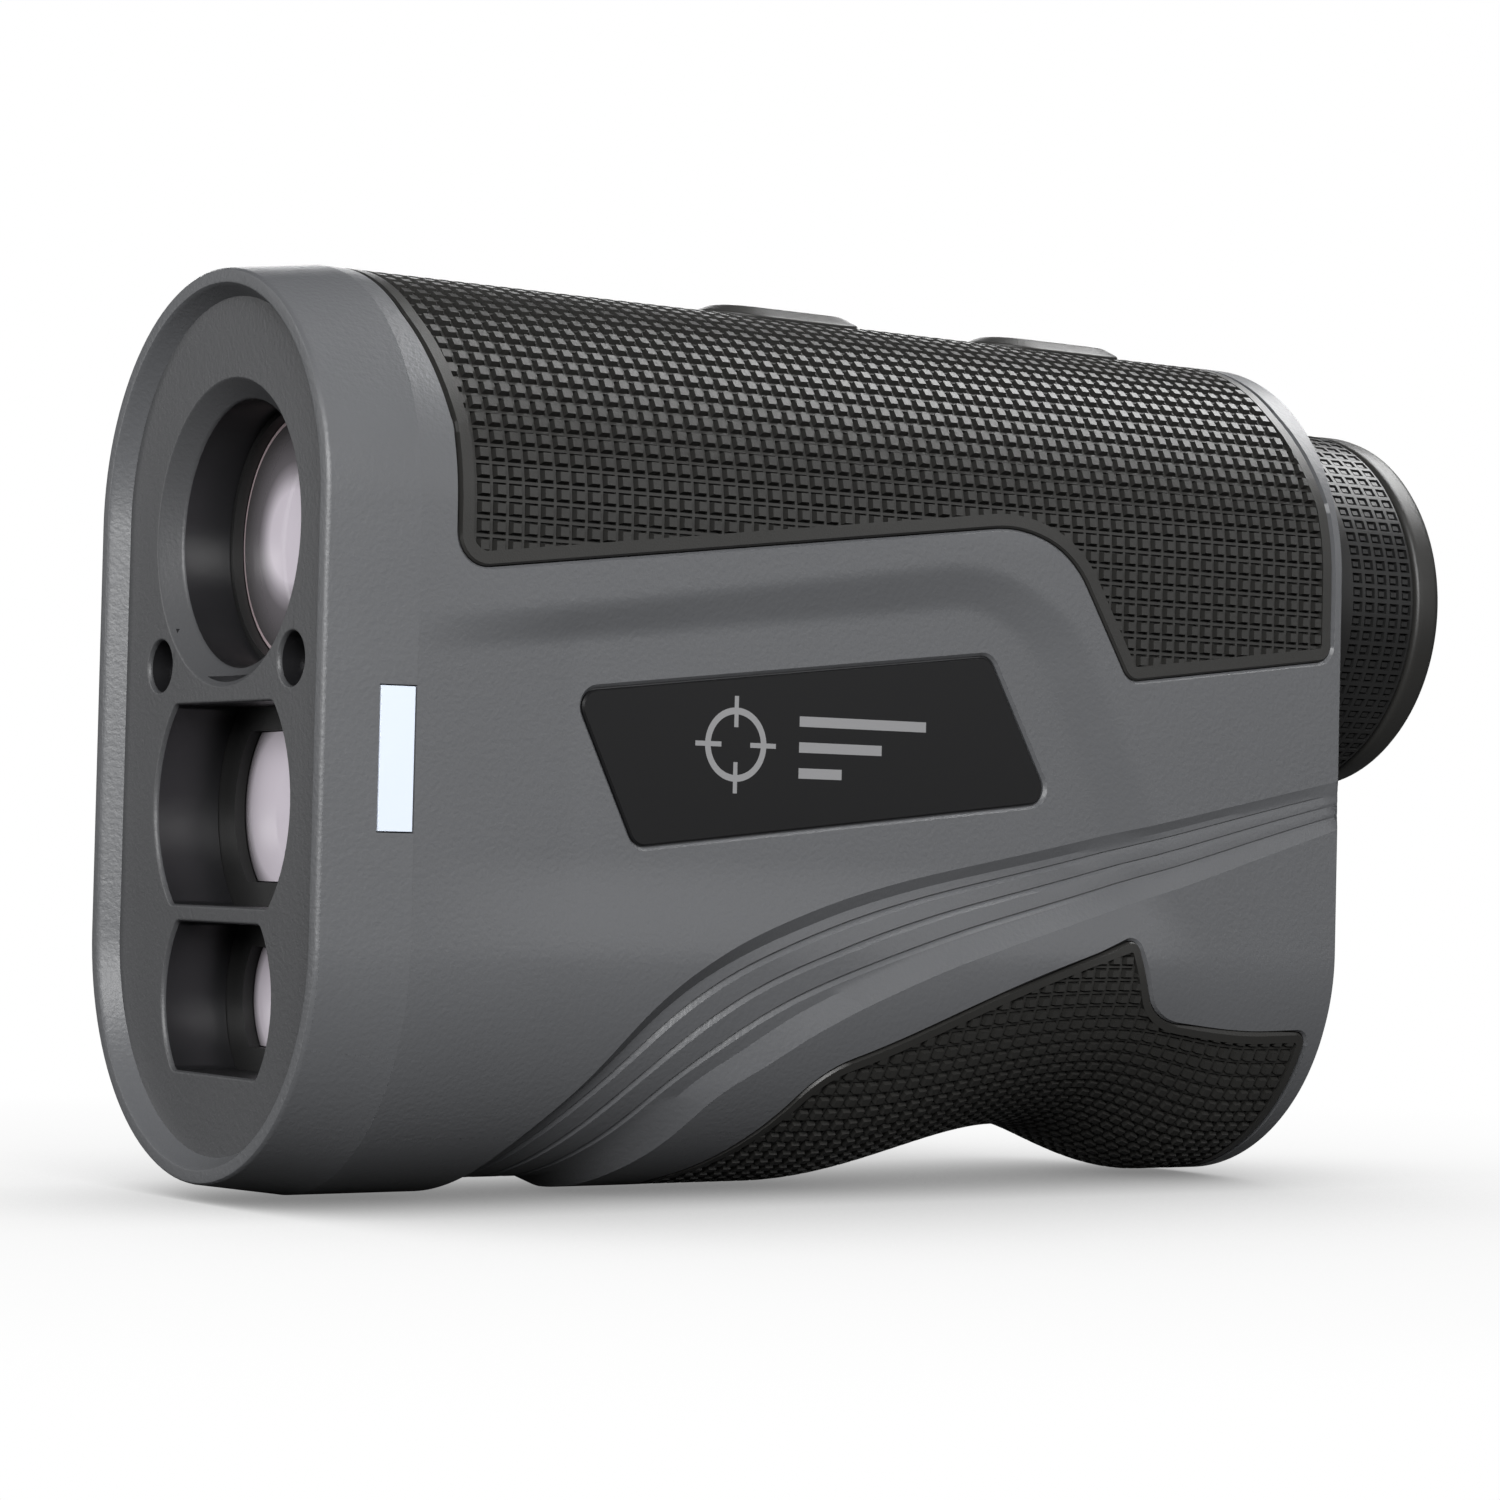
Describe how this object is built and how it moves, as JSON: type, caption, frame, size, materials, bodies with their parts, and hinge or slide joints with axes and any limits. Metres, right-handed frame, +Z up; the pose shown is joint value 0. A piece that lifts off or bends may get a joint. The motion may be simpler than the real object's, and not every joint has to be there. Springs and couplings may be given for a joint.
{
  "type": "handheld laser rangefinder",
  "caption": "Handheld laser rangefinder with a slot-shaped housing, rubber grips, three front optics, two top buttons and a turning eyepiece ring.",
  "frame": {"origin": "centre of the bounding box in X and Y, at the base", "axes": "+X to the right seen from the nose side looking back along +Y, +Y from the objective to the eyepiece, +Z up"},
  "size_m": [0.0406, 0.1178, 0.0748],
  "materials": {
    "housing": "fine-grained moulded",
    "panel": "fine-grained moulded",
    "chassis": "moulded",
    "grip_rubber": "matt, studded",
    "nameplate": "smooth",
    "indicator": "frosted",
    "coated_glass": "coated",
    "ring_plastic": "satin black",
    "steel": "zinc plated",
    "board": "solder mask",
    "chip": "moulded",
    "flex": "polyimide film",
    "plunger": "moulded",
    "battery": "plain jacket",
    "seal": "matt"
  },
  "bodies": {
    "housing": {"front_bezel": "housing", "front_panel": "panel", "front_chassis": "chassis", "left_shell": "housing", "right_shell": "housing", "rear_cover": "housing", "upper_grip": "grip_rubber", "lower_grip": "grip_rubber", "left_badge": "nameplate", "right_badge": "nameplate", "left_indicator": "indicator", "right_indicator": "indicator", "objective_crown": "coated_glass", "objective_flint": "coated_glass", "objective_retainer": "ring_plastic", "objective_barrel": "ring_plastic", "prism_carrier": "chassis", "prism_front": "coated_glass", "prism_rear": "coated_glass", "display_glass": "coated_glass", "eyepiece_tube": "ring_plastic", "diopter_retainer": "steel", "receiver_tube": "ring_plastic", "receiver_lens": "coated_glass", "photodiode": "steel", "emitter_tube": "ring_plastic", "emitter_lens": "coated_glass", "laser_diode": "steel", "main_board": "board", "main_chips": "chip", "button_board": "board", "button_flex": "flex", "power_switch": "chip", "mode_switch": "chip", "battery_sleeve": "ring_plastic", "battery_cell": "battery", "battery_spring": "steel", "panel_screws": "steel", "shell_screws": "steel", "cover_screws": "steel"},
    "power_key": {"power_button": "grip_rubber", "power_plunger": "plunger"},
    "mode_key": {"mode_button": "grip_rubber", "mode_plunger": "plunger"},
    "diopter": {"diopter_ring": "ring_plastic", "eyecup": "grip_rubber"},
    "focus_group": {"lens_cell": "ring_plastic", "focus_pin": "steel", "field_lens": "coated_glass", "eye_lens": "coated_glass"},
    "cap_carrier": {"cap_seal": "seal"},
    "cap": {"battery_cap": "ring_plastic", "cap_contact": "steel"}
  },
  "joints": [
    {"name": "power_press", "type": "slide", "parent": "housing", "child": "power_key", "axis": [0, 0, -1], "range_m": [0, 0.0005], "stiffness_N_per_m": 1500},
    {"name": "mode_press", "type": "slide", "parent": "housing", "child": "mode_key", "axis": [0, 0, -1], "range_m": [0, 0.0005], "stiffness_N_per_m": 1500},
    {"name": "diopter_turn", "type": "hinge", "parent": "housing", "child": "diopter", "pos_m": [0, 0.05, 0.0523], "axis": [0, 1, 0], "range_deg": [-120, 120]},
    {"name": "focus_slide", "type": "slide", "parent": "housing", "child": "focus_group", "axis": [0, 1, 0], "range_m": [-0.00125, 0.00125]},
    {"name": "cap_advance", "type": "slide", "parent": "housing", "child": "cap_carrier", "axis": [0, 1, 0], "range_m": [0, 0.00225]},
    {"name": "cap_turn", "type": "hinge", "parent": "cap_carrier", "child": "cap", "pos_m": [0, 0.045, 0.0185], "axis": [0, 1, 0], "range_deg": [0, 270]}
  ],
  "couplings": [
    {"joint": "focus_slide", "follows": "diopter_turn", "m_per_rad": 0.00059},
    {"joint": "cap_advance", "follows": "cap_turn", "m_per_rad": 0.000477}
  ]
}
